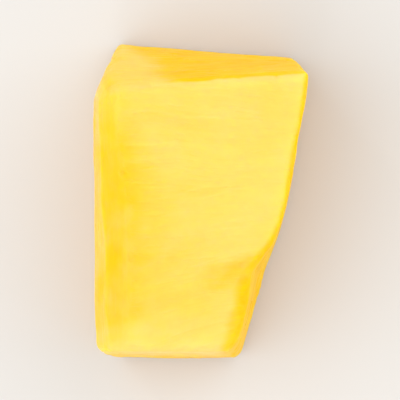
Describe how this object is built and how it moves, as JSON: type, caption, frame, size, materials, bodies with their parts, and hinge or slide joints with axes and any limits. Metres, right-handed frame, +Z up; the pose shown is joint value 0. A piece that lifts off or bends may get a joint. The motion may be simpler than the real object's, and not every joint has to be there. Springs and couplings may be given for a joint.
{
  "type": "mango chunk",
  "caption": "Chunk of peeled ripe mango flesh with a rounded peeled side, flat knife-cut faces and softened edges, resting on a cut face.",
  "frame": {"origin": "centre of the chunk's bounding box, on the flat cut face that it rests on", "axes": "+Y along the length, towards the slanted back cut; +X towards the cut beside the stone, away from the peeled side; +Z up"},
  "size_m": [0.0282, 0.0414, 0.0247],
  "materials": {
    "flesh": "moist satin fruit flesh, slightly translucent, pale yellow inside and golden under the peeled side"
  },
  "bodies": {
    "root": {"mango_chunk": "flesh"}
  },
  "joints": []
}
